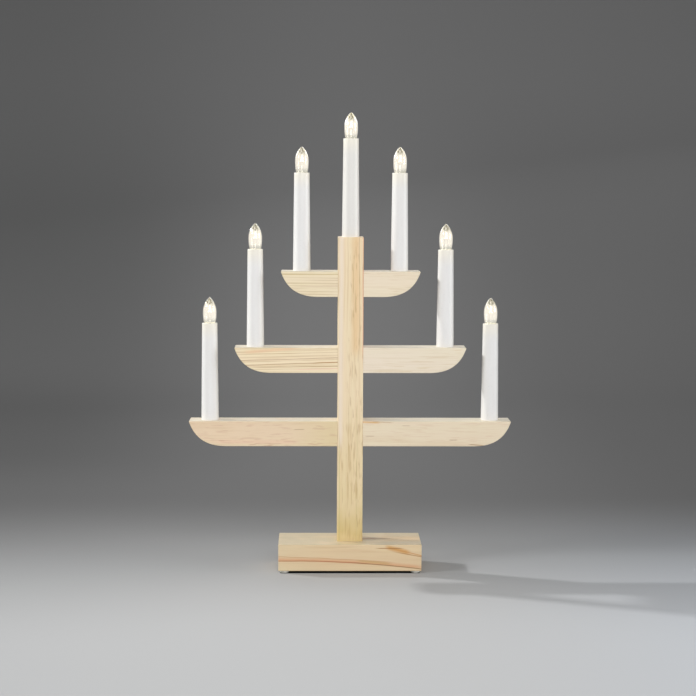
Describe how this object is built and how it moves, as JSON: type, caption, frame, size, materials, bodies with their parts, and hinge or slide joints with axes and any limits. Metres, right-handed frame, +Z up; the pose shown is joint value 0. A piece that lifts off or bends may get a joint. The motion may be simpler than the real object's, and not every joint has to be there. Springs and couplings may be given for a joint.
{
  "type": "candle arch",
  "caption": "Stepped wooden candle arch: a post on a block base carries pairs of boat-shaped arms with electric candles, whose screw bulbs turn out of their holders.",
  "frame": {"origin": "on the surface that the pads stand on, under the middle of the post", "axes": "+X to the right along the arms, -Y to the front, +Z up the post"},
  "size_m": [0.3598, 0.064, 0.5114],
  "materials": {
    "pine": "natural pine, fine sanded and clear matt lacquered",
    "dowel_wood": "plain turned dowel",
    "candle_plastic": "white moulded plastic, slightly glossy",
    "plug_plastic": "white moulded plastic",
    "holder_plastic": "white heat resistant moulded plastic",
    "pad_plastic": "pale soft plastic pad",
    "clip_plastic": "white moulded plastic",
    "bush_plastic": "white moulded plastic",
    "wire_insulation": "white insulated single-core wire",
    "screw_steel": "zinc plated",
    "brass": "plain rolled brass",
    "bulb_glass": "clear bulb glass",
    "filament": "glowing wire on its glass stem",
    "insulator": "black fused insulator with a solder tip"
  },
  "bodies": {
    "stand": {"base_block": "pine", "post": "pine", "arm_lower_left": "pine", "arm_lower_right": "pine", "arm_middle_left": "pine", "arm_middle_right": "pine", "arm_upper_left": "pine", "arm_upper_right": "pine", "foot_pads": "pad_plastic", "base_screws": "screw_steel", "arm_dowels": "dowel_wood", "series_wiring": "wire_insulation", "wire_clips": "clip_plastic", "cord_bush": "bush_plastic", "candle_foot_plugs": "plug_plastic", "holder_shells": "brass", "holder_contacts": "brass", "candle_sleeve_top": "candle_plastic", "lamp_holder_top": "holder_plastic", "candle_sleeve_lower_left": "candle_plastic", "lamp_holder_lower_left": "holder_plastic", "candle_sleeve_lower_right": "candle_plastic", "lamp_holder_lower_right": "holder_plastic", "candle_sleeve_middle_left": "candle_plastic", "lamp_holder_middle_left": "holder_plastic", "candle_sleeve_middle_right": "candle_plastic", "lamp_holder_middle_right": "holder_plastic", "candle_sleeve_upper_left": "candle_plastic", "lamp_holder_upper_left": "holder_plastic", "candle_sleeve_upper_right": "candle_plastic", "lamp_holder_upper_right": "holder_plastic"},
    "bulb_lift_top": {"bulb_contact_top": "insulator"},
    "bulb_turn_top": {"bulb_glass_top": "bulb_glass", "bulb_cap_top": "brass", "bulb_filament_top": "filament"},
    "bulb_lift_lower_left": {"bulb_contact_lower_left": "insulator"},
    "bulb_turn_lower_left": {"bulb_glass_lower_left": "bulb_glass", "bulb_cap_lower_left": "brass", "bulb_filament_lower_left": "filament"},
    "bulb_lift_lower_right": {"bulb_contact_lower_right": "insulator"},
    "bulb_turn_lower_right": {"bulb_glass_lower_right": "bulb_glass", "bulb_cap_lower_right": "brass", "bulb_filament_lower_right": "filament"},
    "bulb_lift_middle_left": {"bulb_contact_middle_left": "insulator"},
    "bulb_turn_middle_left": {"bulb_glass_middle_left": "bulb_glass", "bulb_cap_middle_left": "brass", "bulb_filament_middle_left": "filament"},
    "bulb_lift_middle_right": {"bulb_contact_middle_right": "insulator"},
    "bulb_turn_middle_right": {"bulb_glass_middle_right": "bulb_glass", "bulb_cap_middle_right": "brass", "bulb_filament_middle_right": "filament"},
    "bulb_lift_upper_left": {"bulb_contact_upper_left": "insulator"},
    "bulb_turn_upper_left": {"bulb_glass_upper_left": "bulb_glass", "bulb_cap_upper_left": "brass", "bulb_filament_upper_left": "filament"},
    "bulb_lift_upper_right": {"bulb_contact_upper_right": "insulator"},
    "bulb_turn_upper_right": {"bulb_glass_upper_right": "bulb_glass", "bulb_cap_upper_right": "brass", "bulb_filament_upper_right": "filament"}
  },
  "joints": [
    {"name": "lift_top", "type": "slide", "parent": "stand", "child": "bulb_lift_top", "axis": [0, 0, 1], "range_m": [0, 0.00635]},
    {"name": "turn_top", "type": "hinge", "parent": "bulb_lift_top", "child": "bulb_turn_top", "pos_m": [0, 0, 0.4829], "axis": [0, 0, 1], "range_deg": [0, 1260]},
    {"name": "lift_lower_left", "type": "slide", "parent": "stand", "child": "bulb_lift_lower_left", "axis": [0, 0, 1], "range_m": [0, 0.00635]},
    {"name": "turn_lower_left", "type": "hinge", "parent": "bulb_lift_lower_left", "child": "bulb_turn_lower_left", "pos_m": [-0.1571, 0, 0.2776], "axis": [0, 0, 1], "range_deg": [0, 1260]},
    {"name": "lift_lower_right", "type": "slide", "parent": "stand", "child": "bulb_lift_lower_right", "axis": [0, 0, 1], "range_m": [0, 0.00635]},
    {"name": "turn_lower_right", "type": "hinge", "parent": "bulb_lift_lower_right", "child": "bulb_turn_lower_right", "pos_m": [0.1571, 0, 0.2776], "axis": [0, 0, 1], "range_deg": [0, 1260]},
    {"name": "lift_middle_left", "type": "slide", "parent": "stand", "child": "bulb_lift_middle_left", "axis": [0, 0, 1], "range_m": [0, 0.00635]},
    {"name": "turn_middle_left", "type": "hinge", "parent": "bulb_lift_middle_left", "child": "bulb_turn_middle_left", "pos_m": [-0.10618, 0, 0.3602], "axis": [0, 0, 1], "range_deg": [0, 1260]},
    {"name": "lift_middle_right", "type": "slide", "parent": "stand", "child": "bulb_lift_middle_right", "axis": [0, 0, 1], "range_m": [0, 0.00635]},
    {"name": "turn_middle_right", "type": "hinge", "parent": "bulb_lift_middle_right", "child": "bulb_turn_middle_right", "pos_m": [0.10618, 0, 0.3602], "axis": [0, 0, 1], "range_deg": [0, 1260]},
    {"name": "lift_upper_left", "type": "slide", "parent": "stand", "child": "bulb_lift_upper_left", "axis": [0, 0, 1], "range_m": [0, 0.00635]},
    {"name": "turn_upper_left", "type": "hinge", "parent": "bulb_lift_upper_left", "child": "bulb_turn_upper_left", "pos_m": [-0.05447, 0, 0.4451], "axis": [0, 0, 1], "range_deg": [0, 1260]},
    {"name": "lift_upper_right", "type": "slide", "parent": "stand", "child": "bulb_lift_upper_right", "axis": [0, 0, 1], "range_m": [0, 0.00635]},
    {"name": "turn_upper_right", "type": "hinge", "parent": "bulb_lift_upper_right", "child": "bulb_turn_upper_right", "pos_m": [0.05447, 0, 0.4451], "axis": [0, 0, 1], "range_deg": [0, 1260]}
  ],
  "couplings": [
    {"joint": "lift_top", "follows": "turn_top", "m_per_rad": 0.00028875},
    {"joint": "lift_lower_left", "follows": "turn_lower_left", "m_per_rad": 0.00028875},
    {"joint": "lift_lower_right", "follows": "turn_lower_right", "m_per_rad": 0.00028875},
    {"joint": "lift_middle_left", "follows": "turn_middle_left", "m_per_rad": 0.00028875},
    {"joint": "lift_middle_right", "follows": "turn_middle_right", "m_per_rad": 0.00028875},
    {"joint": "lift_upper_left", "follows": "turn_upper_left", "m_per_rad": 0.00028875},
    {"joint": "lift_upper_right", "follows": "turn_upper_right", "m_per_rad": 0.00028875}
  ]
}
